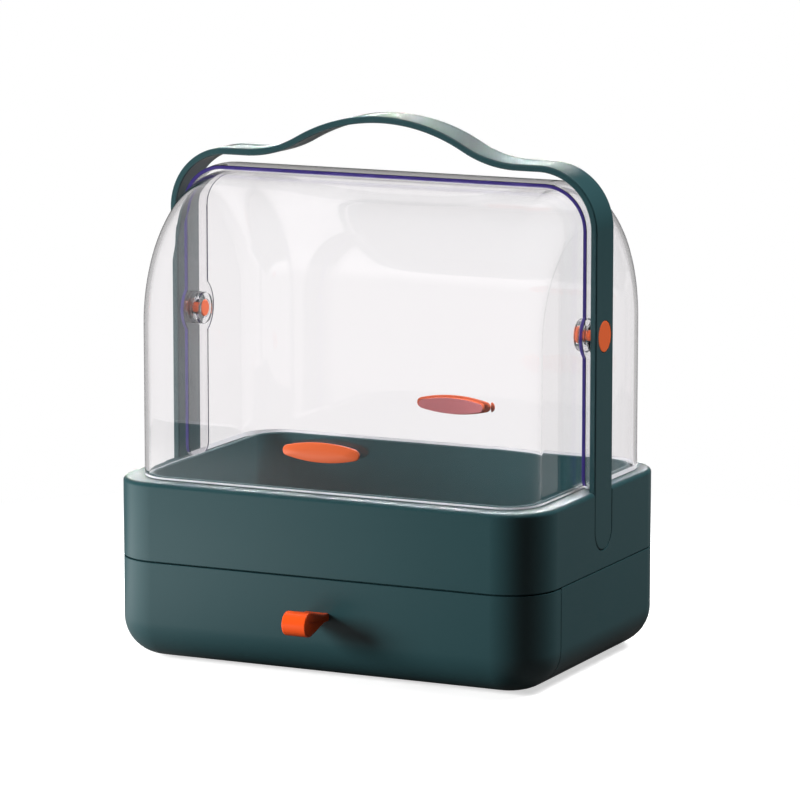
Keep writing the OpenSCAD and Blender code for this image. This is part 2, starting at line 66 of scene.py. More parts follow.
# Base
SIDE_X = 130.0
DEPTH_Y = 90.0
FAR = 2 * SIDE_X
CORNER_R = 28.0
BOTTOM_R = 22.0
WALL = 2.5
LET_IN = WALL / 2  # depth of a piece's hidden end in the wall that it joins
FOOT_H = 1.0
FOOT_R = 7.0
FLOOR_Z = FOOT_H + WALL
SEAM_Z = 57.0
HALF_SEAM = 0.25
SEAM_Y = -57.0
SEAT_GAP = 0.3
HOUSING_TOP_Z = SEAM_Z - HALF_SEAM
DRAWER_TOP_Z = HOUSING_TOP_Z - SEAT_GAP
SHELL_EDGE = 0.3
GUIDE_GAP = 0.4
GUIDE_T = 1.8
GUIDE_Y = -54.0
GUIDE_LEN = 122.0
GUIDE_TOP_Z = 50.75
RAIL_W = 3.0
RAIL_H = 0.6
EAR_T = 2.5
EAR_X = 115.5
EAR_HALF_L = 7.0
SCREW_X = 120.5
SCREW_PLAY_R = 1.6

# Tray
GROOVE_TOP_Z = SEAM_Z + HALF_SEAM
GROOVE_D = WALL / 2
GROOVE_EDGE = 0.3
RIM_Z = 101.0
RIM_R = 2.4
LEDGE_T = 2.2
LEDGE_UNDER_Z = RIM_Z - LEDGE_T
BIN_HALF_W = 116.4
BIN_FRONT_Y = -76.4
BIN_REAR_Y = 80.2
BIN_R = 18.2
BIN_WALL = 2.0
BIN_Z = 58.0
BIN_FLOOR_Z = BIN_Z + BIN_WALL
BIN_FILLET = 2.5
LIP_TOP_Z = 102.7
LIP_R = 0.8
RIM_FILLET = 0.5
SLOT_WALL = 2.0
TRAY_EDGE = 0.18

# Drawer box
BOX_HALF_W = 110.0
BOX_FRONT_Y = -79.0
BOX_REAR_Y = 73.5
BOX_Z = 4.5
BOX_TOP_Z = 52.0
BOX_R = 12.0
BOX_EDGE_R = 8.0
BOX_WALL = 2.0
TAB_X = 60.0
TAB_HALF_W = 10.0
TAB_TOP_Z = 56.6

# Handle band: a grip arc, a blend arc, a corner and a leg on each side
BAND_HALF_W = 11.7
BAND_T = 3.8
BAND_EDGE_R = 0.9
BAND_CORNER_R = 35.0
BAND_IN_X = SIDE_X - BAND_T
BAND_TOP_Z = 300.0
LEG_END_Z = 79.2
SHOULDER_Z = 278.1
CORNER_X = SIDE_X - BAND_CORNER_R
CORNER_Z = SHOULDER_Z - BAND_CORNER_R
GRIP_R = 104.0
GRIP_Z = BAND_TOP_Z - GRIP_R
BLEND_R = 62.0
BLEND_Z = SHOULDER_Z + BLEND_R
BLEND_X = math.sqrt((GRIP_R + BLEND_R) ** 2 - (BLEND_Z - GRIP_Z) ** 2)
GRIP_TURN = math.atan2(BLEND_X, BLEND_Z - GRIP_Z)
SLOT_X = BAND_IN_X - SEAT_GAP

# Pivots
PIVOT_Z = 185.3
CAP_R = 8.7
CAP_T = 1.6
CAP_SEAT_GAP = 0.15
CAP_EDGE_R = 0.5
PIN_R = 3.0
PIN_HOLE_R = 3.05
PLUG_HEAD_R = 4.7
PLUG_HEAD_T = 1.5
PLUG_EDGE = 0.35
PLUG_STEP = 0.1

# Covers. The edge radius rounds the sides into the arch, and the ear goes round the pivot.
COVER_Z = 101.3
COVER_T = 2.2
COVER_EDGE = 0.45
FRONT_HALF_W = 119.4
FRONT_ARCH_R = 79.4
FRONT_EDGE_R = 21.2
FRONT_EAR_R = 17.0
FRONT_HIGHLIGHT_LINE = 0.9  # height of the painted highlight along a cover's foot
REAR_HALF_W = 123.2
REAR_ARCH_R = 83.2
REAR_EDGE_R = 25.0
REAR_EAR_R = 15.0
REAR_HIGHLIGHT_LINE = 2.4
TOE_R = 7.0
OVERLAP = 10.0
HUB_R = 9.0
HUB_X = 113.8
SPACER_R = 6.0
SPACER_X = 120.7
CUT_SHADE_INDEX, FOOT_HIGHLIGHT_INDEX = 1, 2  # places of the cut edge's painted shade and the foot's painted highlight

# Pulls
PULL_Z = 125.0
PULL_W = 46.0
PULL_H = 11.0
PULL_REACH = 6.6
PULL_TAPE = 0.4
PULL_PLATE = 2.6
PULL_END_R = 3.0
PULL_FOOT_W = 40.0
PULL_FOOT_H = 9.0
PULL_FOOT_END_R = 2.5
PULL_EDGE_R = 0.6
DOME_H = 1.0
DOME_FROM = 120  # turn, in degrees, at which the edge's rounding goes over into the dome
DOME_RINGS = 10
DOME_SHRINK = (0.45, 0.88)  # of the oval's length and height, from the dome's rim to its top

# Knob
KNOB_HALF_W = 7.25
KNOB_R = 6.7
KNOB_Y = -112.0
KNOB_Z = 36.0
KNOB_EDGE_R = 0.9
NECK_Y = -95.0
NECK_HALF_T = 2.2
SLOT_T = 0.5
SLOT_START = 2.0
SLOT_RISE = 1.4
SLOT_TILT = math.radians(9)

# Facets: of a quarter turn, of a cover's ear and of the floor's edge
FINE, COARSE = 14, 5
EAR_FACETS = 24
FLOOR_FACETS = 96

# Colours, linear
GREEN = (0.017, 0.047, 0.052)
ORANGE = (0.72, 0.075, 0.009)
PULL_ORANGE = (0.52, 0.10, 0.035)
CAP_ORANGE = (0.60, 0.10, 0.026)
# Dark violet of the covers' cut edges: the plastic's own tint, deepened into painted shade
EDGE_SHADE_VIOLET = (0.035, 0.022, 0.17)
# Pale grey of the covers' feet: a painted highlight
FOOT_HIGHLIGHT_GREY = (0.78, 0.78, 0.8)
TAPE_PINK = (0.58, 0.23, 0.24)
BLACK = (0.02, 0.02, 0.022)
STEEL_DEEP = (0.5, 0.5, 0.52)
STEEL_PALE = (0.66, 0.66, 0.68)

# Moulded materials: colour, roughness, strength of the grain and drift of the colour
MOULDED = {
    "green_shell": (GREEN, 0.36, 0.05, 0.06),
    "green_tray": (GREEN, 0.32, 0.04, 0.06),
    "green_handle": (GREEN, 0.34, 0.05, 0.06),
    "green_drawer": (GREEN, 0.36, 0.05, 0.06),
    "green_box": (GREEN, 0.45, 0.08, 0.06),
    "orange_pull": (PULL_ORANGE, 0.26, 0.03, 0.06),
    "orange_knob": (ORANGE, 0.34, 0.05, 0.06),
    "orange_pin": (CAP_ORANGE, 0.4, 0.05, 0.06),
    "adhesive": (TAPE_PINK, 0.7, 0.6, 0.3),
    "rubber_foot": (BLACK, 0.75, 0.4, 0.15),
}
GLOSS_DRIFT = (0.9, 1.12)
GRAIN_HEIGHT = 0.0002
STEEL_ROUGHNESS = (0.28, 0.42)

# Clear plastic: its faces' tint, its volume's colour and density, and what its shadow lets through
CLEAR_IOR = 1.46
CLEAR_TINT = (1.0, 0.983, 0.99)
CLEAR_DRIFT = 1.012
CLEAR_ROUGHNESS = (0.0, 0.02)
CLEAR_VOLUME = (0.6, 0.56, 0.62)
CLEAR_DENSITY = 7.0
CLEAR_SHADOW = (0.97, 0.965, 0.97)

# Edges of the clear plastic: share of the colour and gain in roughness where they are uneven
EDGE_DEEPER = 0.85
EDGE_ROUGHER = 0.1

# Scales of the noise in the materials
DRIFT_SCALE = 14.0
GRAIN_SCALE = 900.0
RIPPLE_SCALE = 9.0
EDGE_SCALE = 60.0
STREAK_SCALE = 400.0
FLOOR_SCALE = 3.0

# View of the photograph
CAMERA_TURN = math.radians(25.459)
CAMERA_RISE = math.radians(9.642)
CAMERA_DISTANCE = 2.652915
CAMERA_LENS = 215.46
CAMERA_SENSOR = 36.0
CAMERA_REACH = 50.0
CAMERA_TARGET = Vector((0.007094, 0.0, 0.141476))

# Floor and background. The tones are for rays that light the object and for rays that are seen.
FLOOR_R = 1600.0
FLOOR_DROP = 0.00005  # metres
FLOOR_TONES = (0.05, 0.65)
FLOOR_GLOW = 0.6
FLOOR_ROUGHNESS = (0.75, 0.85)
FLOOR_SPECULAR = 0.1
WHITE_FROM = (0.28, 0.5)
WHITE = (1, 1, 1, 1)
AMBIENT = 0.035
MIRRORED_SHARE = 0.62

# Painted pool of light, a glow on the floor in front and to the left: where it rises and where it
# falls off
FORWARD = (0, -1, 0)
POOL_ACROSS = (-0.843, 0.537, 0.0)
POOL_EDGE = (-0.2, 0.08)
POOL_BACK = (-0.05, 0.1)
POOL_START = (0.08, 0.38)
POOL_END = (0.86, 0.68)
PAINTED_POOL_GLOW = 2.0

# Lamps: turn from the front towards the right and rise, in degrees, distance, size, watts, and
# whether it shows in reflections
LAMPS = {
    "key_left": (-52, 14, 2.4, (0.9, 0.9), 123, False),
    "rear_left": (-151, 14, 2.2, (1.5, 0.8), 15, True),
    "rear_right": (136, 50, 2.2, (0.9, 1.2), 103, False),
    "top": (180, 78, 2.2, (1.6, 1.6), 18, True),
}
LAMP_AIM = Vector((0, 0, 0.13))


# Mesh helpers

def link(name, bm):
    """Turns a bmesh in millimetres into an object in metres."""
    bmesh.ops.scale(bm, vec=(MM, MM, MM), verts=bm.verts)
    mesh = bpy.data.meshes.new(name)
    bm.to_mesh(mesh)
    bm.free()
    obj = bpy.data.objects.new(name, mesh)
    bpy.context.scene.collection.objects.link(obj)
    return obj


def make_closed(name, bm):
    """Object from a closed bmesh, with its faces turned outward."""
    bmesh.ops.remove_doubles(bm, verts=bm.verts, dist=SAME_POINT)
    bmesh.ops.recalc_face_normals(bm, faces=bm.faces)
    return link(name, bm)


def bake_modifiers(obj):
    """Puts the result of an object's modifiers into its mesh."""
    bpy.context.view_layer.update()
    graph = bpy.context.evaluated_depsgraph_get()
    mesh = bpy.data.meshes.new_from_object(obj.evaluated_get(graph), depsgraph=graph)
    old = obj.data
    obj.modifiers.clear()
    obj.data = mesh
    mesh.name = obj.name
    bpy.data.meshes.remove(old)
    return obj


def combine(obj, tool, operation="DIFFERENCE"):
    """Cuts an object with a tool, or joins them, and removes the tool."""
    m = obj.modifiers.new("combine", "BOOLEAN")
    m.object = tool
    m.operation = operation
    m.solver = "EXACT"
    bake_modifiers(obj)
    mesh = tool.data
    bpy.data.objects.remove(tool)
    bpy.data.meshes.remove(mesh)
    return obj


def shade(obj, smooth=38, weight=80):
    """Smooth shading with creases over the angle, and flats kept flat by weight of area."""
    mesh = obj.data
    mesh.polygons.foreach_set("use_smooth", [True] * len(mesh.polygons))
    mesh.set_sharp_from_angle(angle=math.radians(smooth))
    m = obj.modifiers.new("flats", "WEIGHTED_NORMAL")
    m.mode = "FACE_AREA"
    m.weight = weight
    m.keep_sharp = True
    return bake_modifiers(obj)


def soften(obj, width, segments=2, angle=32, smooth=38):
    """Rounds the edges sharper than an angle by a width in millimetres, and shades the object."""
    m = obj.modifiers.new("soft edges", "BEVEL")
    m.limit_method = "ANGLE"
    m.angle_limit = math.radians(angle)
    m.width = width * MM
    m.segments = segments
    m.use_clamp_overlap = False
    m.miter_outer = "MITER_ARC"
    bake_modifiers(obj)
    return shade(obj, smooth)


def arc(cx, cy, r, start, end, n):
    """Points on an arc about (cx, cy), angles in degrees."""
    turns = [math.radians(start + (end - start) * i / n) for i in range(n + 1)]
    return [(cx + r * math.cos(a), cy + r * math.sin(a)) for a in turns]


def round_rect(x0, x1, y0, y1, r, n=FINE):
    """Rectangle with round corners, anticlockwise from the lower right corner."""
    pts = arc(x1 - r, y0 + r, r, -90, 0, n)
    pts += arc(x1 - r, y1 - r, r, 0, 90, n)
    pts += arc(x0 + r, y1 - r, r, 90, 180, n)
    pts += arc(x0 + r, y0 + r, r, 180, 270, n)
    return pts


def join_rings(bm, rings):
    """Faces between each ring of vertices and the next."""
    for a, b in zip(rings, rings[1:]):
        n = len(a)
        for i in range(n):
            bm.faces.new((a[i], a[(i + 1) % n], b[(i + 1) % n], b[i]))


def loft(name, rings):
    """Closed body through rings of (x, y, z) points, with flat ends."""
    bm = bmesh.new()
    made = [[bm.verts.new(p) for p in pts] for pts in rings]
    join_rings(bm, made)
    bm.faces.new(made[0])
    bm.faces.new(made[-1])
    return make_closed(name, bm)


def stack(name, rings):
    """Closed body from a list of (plan, z) rings."""
    return loft(name, [[(x, y, z) for x, y in pts] for pts, z in rings])


def side_prism(name, pts, x0, x1):
    """Straight prism along X from an outline of (y, z) points."""
    return loft(name, [[(x, y, z) for y, z in pts] for x in (x0, x1)])


def cylinder_x(name, z, r, x0, x1):
    return side_prism(name, arc(0, z, r, 0, 360, 4 * FINE)[:-1], x0, x1)


def block(name, low, high):
    (x0, y0, z0), (x1, y1, z1) = low, high
    plan = [(x0, y0), (x1, y0), (x1, y1), (x0, y1)]
    return stack(name, [(plan, z0), (plan, z1)])


def turned(name, profile, place):
    """Body of revolution from (height, radius) points.
    place maps a height and two radial parts to a position."""
    turns = [math.radians(a * 90 / FINE) for a in range(4 * FINE)]
    rings = [[place(h, r * math.cos(a), r * math.sin(a)) for a in turns] for h, r in profile]
    return loft(name, rings)


def place_on(obj, body, slot, *nodes):
    """Makes a piece ride on its body in place of CAD nodes, with its material."""
    if not obj.data.materials:
        obj.data.materials.append(MATERIALS[slot])
    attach(obj, body)
    if nodes:
        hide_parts(*nodes)
    return obj


# Material helpers

def new_material(name):
    m = bpy.data.materials.new(name)
    m.use_nodes = True
    nodes, links = m.node_tree.nodes, m.node_tree.links
    return m, nodes, links, nodes["Principled BSDF"]


def noise(nodes, links, scale, detail=2.0):
    """Noise fixed to the object. Returns its factor."""
    place = nodes.new("ShaderNodeTexCoord")
    texture = nodes.new("ShaderNodeTexNoise")
    texture.inputs["Scale"].default_value = scale
    texture.inputs["Detail"].default_value = detail
    links.new(place.outputs["Object"], texture.inputs["Vector"])
    return texture.outputs["Fac"]


def blend_colour(nodes, links, factor, a, b, socket):
    mix = nodes.new("ShaderNodeMix")
    mix.data_type = "RGBA"
    mix.inputs["A"].default_value = (*a, 1)
    mix.inputs["B"].default_value = (*b, 1)
    links.new(factor, mix.inputs["Factor"])
    links.new(mix.outputs["Result"], socket)


def blend_value(nodes, links, factor, low, high, socket):
    span = nodes.new("ShaderNodeMapRange")
    span.inputs["To Min"].default_value = low
    span.inputs["To Max"].default_value = high
    links.new(factor, span.inputs["Value"])
    links.new(span.outputs["Result"], socket)


def mix_shaders(nodes, links, factor, first, second, surface):
    """Leads the first shader to a surface where the factor is 0, and the second where it is 1."""
    mix = nodes.new("ShaderNodeMixShader")
    links.new(factor, mix.inputs["Fac"])
    links.new(first, mix.inputs[1])
    links.new(second, mix.inputs[2])
    links.new(mix.outputs["Shader"], surface)


def bump(nodes, links, factor, strength, height, shader):
    node = nodes.new("ShaderNodeBump")
    node.inputs["Strength"].default_value = strength
    node.inputs["Distance"].default_value = height
    links.new(factor, node.inputs["Height"])
    links.new(node.outputs["Normal"], shader.inputs["Normal"])


def ramp_of(nodes, links, value, start, end, low=0.0, high=1.0):
    """Smooth change from low where the value is start to high where it is end."""
    ramp = nodes.new("ShaderNodeMapRange")
    ramp.interpolation_type = "SMOOTHSTEP"
    ramp.inputs["From Min"].default_value = start
    ramp.inputs["From Max"].default_value = end
    ramp.inputs["To Min"].default_value = low
    ramp.inputs["To Max"].default_value = high
    links.new(value, ramp.inputs["Value"])
    return ramp.outputs["Result"]


def calculate(nodes, links, operation, a, b):
    """Result of a math node on two sockets."""
    node = nodes.new("ShaderNodeMath")
    node.operation = operation
    links.new(a, node.inputs[0])
    links.new(b, node.inputs[1])
    return node.outputs[0]


# Materials

def moulded(name, colour, roughness, grain, variation):
    """Moulded plastic: slight drift of colour and gloss, and a fine surface grain."""
    m, nodes, links, shader = new_material(name)
    drift = noise(nodes, links, DRIFT_SCALE, detail=3.0)
    pale, deep = [[c * (1 + s * variation) for c in colour] for s in (1, -1)]
    blend_colour(nodes, links, drift, deep, pale, shader.inputs["Base Color"])
    smooth, rough = [roughness * share for share in GLOSS_DRIFT]
    blend_value(nodes, links, drift, smooth, rough, shader.inputs["Roughness"])
    bump(nodes, links, noise(nodes, links, GRAIN_SCALE), grain, GRAIN_HEIGHT, shader)
    return m


def clear_plastic(name):
    """Clear moulded plastic with the faintest ripple of its mould."""
    m, nodes, links, shader = new_material(name)
    output = nodes["Material Output"]
    shader.inputs["Transmission Weight"].default_value = 1.0
    shader.inputs["IOR"].default_value = CLEAR_IOR
    ripple = noise(nodes, links, RIPPLE_SCALE, detail=1.0)
    paler = [min(1.0, c * CLEAR_DRIFT) for c in CLEAR_TINT]
    blend_colour(nodes, links, ripple, CLEAR_TINT, paler, shader.inputs["Base Color"])
    blend_value(nodes, links, ripple, *CLEAR_ROUGHNESS, shader.inputs["Roughness"])
    body = nodes.new("ShaderNodeVolumeAbsorption")
    body.inputs["Color"].default_value = (*CLEAR_VOLUME, 1)
    body.inputs["Density"].default_value = CLEAR_DENSITY
    links.new(body.outputs["Volume"], output.inputs["Volume"])
    # Rays to the lamps go straight through, so that what is inside is lit
    shadow = nodes.new("ShaderNodeBsdfTransparent")
    shadow.inputs["Color"].default_value = (*CLEAR_SHADOW, 1)
    path = nodes.new("ShaderNodeLightPath")
    mix_shaders(nodes, links, path.outputs["Is Shadow Ray"], shader.outputs["BSDF"],
                shadow.outputs["BSDF"], output.inputs["Surface"])
    return m


def edge_with_painted_light(name, colour, transmission, roughness):
    """Edge of a clear moulding, partly clear and slightly uneven, coloured to paint the light on
    it: shade on a cut edge, a highlight on a foot.
    """
    m, nodes, links, shader = new_material(name)
    shader.inputs["Transmission Weight"].default_value = transmission
    shader.inputs["IOR"].default_value = CLEAR_IOR
    uneven = noise(nodes, links, EDGE_SCALE)
    deep, rough = [EDGE_DEEPER * c for c in colour], roughness + EDGE_ROUGHER
    blend_colour(nodes, links, uneven, deep, colour, shader.inputs["Base Color"])
    blend_value(nodes, links, uneven, roughness, rough, shader.inputs["Roughness"])
    return m


def brushed_steel(name):
    m, nodes, links, shader = new_material(name)
    shader.inputs["Metallic"].default_value = 1.0
    streaks = noise(nodes, links, STREAK_SCALE)
    blend_colour(nodes, links, streaks, STEEL_DEEP, STEEL_PALE, shader.inputs["Base Color"])
    blend_value(nodes, links, streaks, *STEEL_ROUGHNESS, shader.inputs["Roughness"])
    return m


MATERIALS = {name: moulded(name, *look) for name, look in MOULDED.items()}
MATERIALS["clear_front"] = clear_plastic("clear_front")
MATERIALS["clear_rear"] = clear_plastic("clear_rear")
# Painted shade on the covers' cut edges, dark violet over the plastic's own tint
MATERIALS["clear_cut_shaded"] = edge_with_painted_light("clear_cut_shaded", EDGE_SHADE_VIOLET, transmission=0.25, roughness=0.3)
# Painted highlight along the covers' feet
MATERIALS["clear_foot_highlight"] = edge_with_painted_light("clear_foot_highlight", FOOT_HIGHLIGHT_GREY, transmission=0.5, roughness=0.3)
MATERIALS["steel"] = brushed_steel("steel")


# Rings of the hollow bodies, each a plan drawn in by an inset, and its height

def base_ring(inset, z):
    x, y = SIDE_X - inset, DEPTH_Y - inset
    return round_rect(-x, x, -y, y, CORNER_R - inset), z


def box_ring(inset, z):
    x = BOX_HALF_W - inset
    return round_rect(-x, x, BOX_FRONT_Y + inset, BOX_REAR_Y - inset, BOX_R - inset), z


def bin_ring(inset, z):
    x = BIN_HALF_W - inset
    return round_rect(-x, x, BIN_FRONT_Y + inset, BIN_REAR_Y - inset, BIN_R - inset), z


def curved_rings(ring, inset, z, r, start, end, n=COARSE):
    """Rings round an arc about an inset and a height, angles in degrees."""
    return [ring(*p) for p in arc(inset, z, r, start, end, n)]


def tub_rings(ring, inset, bottom_z, top_z, r):
    """Rings of a tub's face from its flat bottom up: a rounded lower edge, then straight walls."""
    return curved_rings(ring, inset + r, bottom_z + r, r, 270, 180, FINE) + [ring(inset, top_z)]


# Base, drawer and tray

def middle(node):
    """Middle of a CAD node's box, in millimetres."""
    low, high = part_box(node)
    return (low + high) / 2 / MM


def base_shell(name, top_z):
    """Whole hollow lower body, outside up and inside down."""
    outer = tub_rings(base_ring, 0, FOOT_H, top_z, BOTTOM_R)
    inner = tub_rings(base_ring, WALL, FLOOR_Z, top_z, BOTTOM_R - WALL)
    return stack(name, outer + inner[::-1])


def add_guides(obj, s):
    """Joins the drawer's guide wall and floor rail of one side to the housing."""
    guide = (BOX_HALF_W + GUIDE_GAP, GUIDE_T, GUIDE_TOP_Z)
    rail = (TAB_X, RAIL_W, FLOOR_Z + RAIL_H)
    for x, w, top_z in (guide, rail):
        low, high = sorted((s * x, s * (x + w)))
        wall = block("wall", (low, GUIDE_Y, FLOOR_Z - LET_IN), (high, GUIDE_Y + GUIDE_LEN, top_z))
        combine(obj, wall, "UNION")


def add_ear(obj, s, y):
    """Joins an ear to the housing's top edge, with a hole for a screw up into the tray."""
    low, high = sorted((s * EAR_X, s * (SIDE_X - LET_IN)))
    ear = block("ear", (low, y - EAR_HALF_L, HOUSING_TOP_Z - EAR_T),
                (high, y + EAR_HALF_L, HOUSING_TOP_Z))
    combine(obj, ear, "UNION")
    profile = [(HOUSING_TOP_Z - 2 * EAR_T, SCREW_PLAY_R), (SEAM_Z, SCREW_PLAY_R)]
    combine(obj, turned("hole", profile, lambda h, a, b: (s * SCREW_X + a, y + b, h)))


def housing():
    """Back part of the lower body, with the drawer's guides and rails and the screws' ears."""
    obj = base_shell("housing_body", HOUSING_TOP_Z)
    combine(obj, block("cut", (-FAR, -FAR, -FAR), (FAR, SEAM_Y + HALF_SEAM, FAR)))
    for s, side in SIDES:
        add_guides(obj, s)
        for node in ("foot_front_" + side, "foot_rear_" + side):
            add_ear(obj, s, middle(node).y)
    soften(obj, SHELL_EDGE)
    return place_on(obj, "base", "green_shell", "lower_housing")


def feet():
    """Rubber feet with a bevelled lower edge, let into the housing's underside."""
    profile = [(FLOOR_Z - LET_IN, FOOT_R), (SHELL_EDGE, FOOT_R), (0.0, FOOT_R - SHELL_EDGE)]
    for row in ("front", "rear"):
        for _, side in SIDES:
            node = "foot_" + row + "_" + side
            at = middle(node)
            obj = turned(node + "_body", profile, lambda h, a, b: (at.x + a, at.y + b, h))
            place_on(shade(obj), "base", "rubber_foot", node)


def drawer_front():
    """Front part of the lower body."""
    obj = base_shell("drawer_front_body", DRAWER_TOP_Z)
    combine(obj, block("cut", (-FAR, SEAM_Y - HALF_SEAM, -FAR), (FAR, FAR, FAR)))
    soften(obj, SHELL_EDGE)
    return place_on(obj, "drawer", "green_drawer", "drawer_front")


def drawer_box():
    """Open box with two tabs at its back."""
    outer = tub_rings(box_ring, 0, BOX_Z, BOX_TOP_Z, BOX_EDGE_R)
    inner = tub_rings(box_ring, BOX_WALL, BOX_Z + BOX_WALL, BOX_TOP_Z, BOX_EDGE_R - BOX_WALL)
    obj = stack("drawer_box_body", outer + inner[::-1])
    for s, _ in SIDES:
        tab = block("tab", (s * TAB_X - TAB_HALF_W, BOX_REAR_Y - BOX_WALL, BOX_TOP_Z - PAST),
                    (s * TAB_X + TAB_HALF_W, BOX_REAR_Y, TAB_TOP_Z))
        combine(obj, tab, "UNION")
    soften(obj, SHELL_EDGE)
    return place_on(obj, "drawer", "green_box", "drawer_box")


def skirt_rings():
    """Rings of the tray from under its bin, out along the ledge, down the skirt and up outside."""
    rings = [bin_ring(0, BIN_Z), bin_ring(0, LEDGE_UNDER_Z), base_ring(WALL, LEDGE_UNDER_Z)]
    rings += [base_ring(WALL, HOUSING_TOP_Z), base_ring(GROOVE_D, HOUSING_TOP_Z)]
    rings += [base_ring(GROOVE_D, GROOVE_TOP_Z), base_ring(GROOVE_EDGE, GROOVE_TOP_Z)]
    rings += [base_ring(0, GROOVE_TOP_Z + GROOVE_EDGE)]
    return rings + curved_rings(base_ring, RIM_R, RIM_Z - RIM_R, RIM_R, 180, 90)


def lip_rings():
    """Rings of the tray from its ledge over the dust lip and down to the bin's floor."""
    z, inner = LIP_TOP_Z - LIP_R, BIN_WALL - LIP_R
    rings = curved_rings(bin_ring, -RIM_FILLET, RIM_Z + RIM_FILLET, RIM_FILLET, 270, 360)
    rings += curved_rings(bin_ring, LIP_R, z, LIP_R, 180, 90)
    rings += curved_rings(bin_ring, inner, z, LIP_R, 90, 0)
    return rings + curved_rings(bin_ring, BIN_WALL + BIN_FILLET, BIN_FLOOR_Z + BIN_FILLET,
                                BIN_FILLET, 180, 270)


def leg_outline(r, top_z):
    """Outline of a leg's slot or of the slot's back, on the YZ plane."""
    return arc(0, LEG_END_Z, r, 180, 360, 2 * FINE) + [(r, top_z), (-r, top_z)]


def tray():
    """Skirt, ledge, dust lip and bin as one lofted wall, with slots for the handle's legs."""
    obj = stack("tray_body", skirt_rings() + lip_rings())
    slot = leg_outline(BAND_HALF_W + SEAT_GAP, LIP_TOP_Z)
    around = leg_outline(BAND_HALF_W + SEAT_GAP + SLOT_WALL, LEDGE_UNDER_Z + PAST)
    for s, side in SIDES:
        combine(obj, side_prism("slot", slot, s * SLOT_X, s * (SIDE_X + PAST)))
        back = side_prism("slot_back_" + side, around, s * (SLOT_X - SLOT_WALL),
                          s * (SLOT_X - HAIR_GAP))
        place_on(shade(back), "base", "green_tray")
    soften(obj, TRAY_EDGE, angle=50, smooth=40)
    return place_on(obj, "base", "green_tray", "upper_tray")


# Handle

def band_path():
    """Points (x, z) and inward normals along the band's outer face, without its round ends."""
    half = []
    for i in range(2 * FINE + 1):
        a = GRIP_TURN * i / (2 * FINE)
        sin, cos = math.sin(a), math.cos(a)
        half.append((GRIP_R * sin, GRIP_Z + GRIP_R * cos, -sin, -cos))
    for i in range(1, FINE + 1):
        a = GRIP_TURN * (1 - i / FINE)
        sin, cos = math.sin(a), math.cos(a)
        half.append((BLEND_X - BLEND_R * sin, BLEND_Z - BLEND_R * cos, -sin, -cos))
    for i in range(2 * FINE + 1):
        a = math.radians(90 - 90 * i / (2 * FINE))
        sin, cos = math.sin(a), math.cos(a)
        half.append((CORNER_X + BAND_CORNER_R * cos, CORNER_Z + BAND_CORNER_R * sin, -cos, -sin))
    for i in range(1, COARSE + 1):
        half.append((SIDE_X, CORNER_Z + (LEG_END_Z - CORNER_Z) * i / COARSE, -1.0, 0.0))
    return [(-x, z, -nx, nz) for x, z, nx, nz in half[:0:-1]] + half


def band_levels():
    """(depth, inset) from the outer face through the rounded edges to the inner face."""
    r = BAND_EDGE_R
    out = [(depth, inset) for inset, depth in arc(r, r, r, 270, 180, COARSE)]
    return out + [(BAND_T - depth, inset) for depth, inset in out[::-1]]


def band_ring(x, z, nx, nz, turn):
    """Ring round the band at a point of its path. The turn lowers it along the leg's round end."""
    left, right = [], []
    for depth, inset in band_levels():
        half_w = BAND_HALF_W - inset
        px, pz = x + nx * depth, z + nz * depth - half_w * math.sin(turn)
        left.append((px, -half_w * math.cos(turn), pz))
        right.append((px, half_w * math.cos(turn), pz))
    return left + right[::-1]


def band_rings():
    """Rings from one leg's round end along the path to the other's."""
    path = band_path()
    turns = [math.radians(90 * i / FINE) for i in range(1, FINE + 1)]
    rings = [band_ring(*path[0], a) for a in turns[::-1]]
    rings += [band_ring(*point, 0.0) for point in path]
    return rings + [band_ring(*path[-1], a) for a in turns]


def handle():
    """Strip with half-round ends, all its edges rounded, and seats for the pivots' caps."""
    bm = bmesh.new()
    join_rings(bm, [[bm.verts.new(p) for p in ring] for ring in band_rings()])
    obj = make_closed("handle_body", bm)
    for s, _ in SIDES:
        seat = (CAP_R + CAP_SEAT_GAP, s * (SIDE_X - CAP_T), s * (SIDE_X + PAST))
        combine(obj, cylinder_x("seat", PIVOT_Z, *seat))
    shade(obj, smooth=30)
    return place_on(obj, "base", "green_handle", "handle_band")


# Covers

def cover_edge(ear_r):
    """Edge of a cover's side wall, on the YZ plane at -Y: its lower end, then round the pivot."""
    ear = math.degrees(math.asin(OVERLAP / ear_r))
    toe = arc(OVERLAP - TOE_R, COVER_Z + TOE_R, TOE_R, -90, 0, FINE)
    return toe + arc(0, PIVOT_Z, ear_r, ear - 90, 90 - ear, EAR_FACETS)


def cover_rows(half_w, arch_r, edge_r):
    """Rows of (x, y, z) points over the outer face of a cover at -Y, from its lower edge up."""
    flat_r = arch_r - edge_r
    profile = [(edge_r - half_w + x, flat_r + rho) for x, rho in arc(0, 0, edge_r, 180, 90, FINE)]
    profile += [(-x, rho) for x, rho in profile[::-1]]
    heights = [COVER_Z + (PIVOT_Z - COVER_Z) * i / COARSE for i in range(COARSE)]
    rows = [[(x, -rho, z) for x, rho in profile] for z in heights]
    n = 4 * FINE
    for i in range(n + 1):
        turns = [(x, rho, math.acos(-OVERLAP / rho) * i / n) for x, rho in profile]
        rows.append([(x, -rho * math.cos(a), PIVOT_Z + rho * math.sin(a)) for x, rho, a in turns])
    return rows


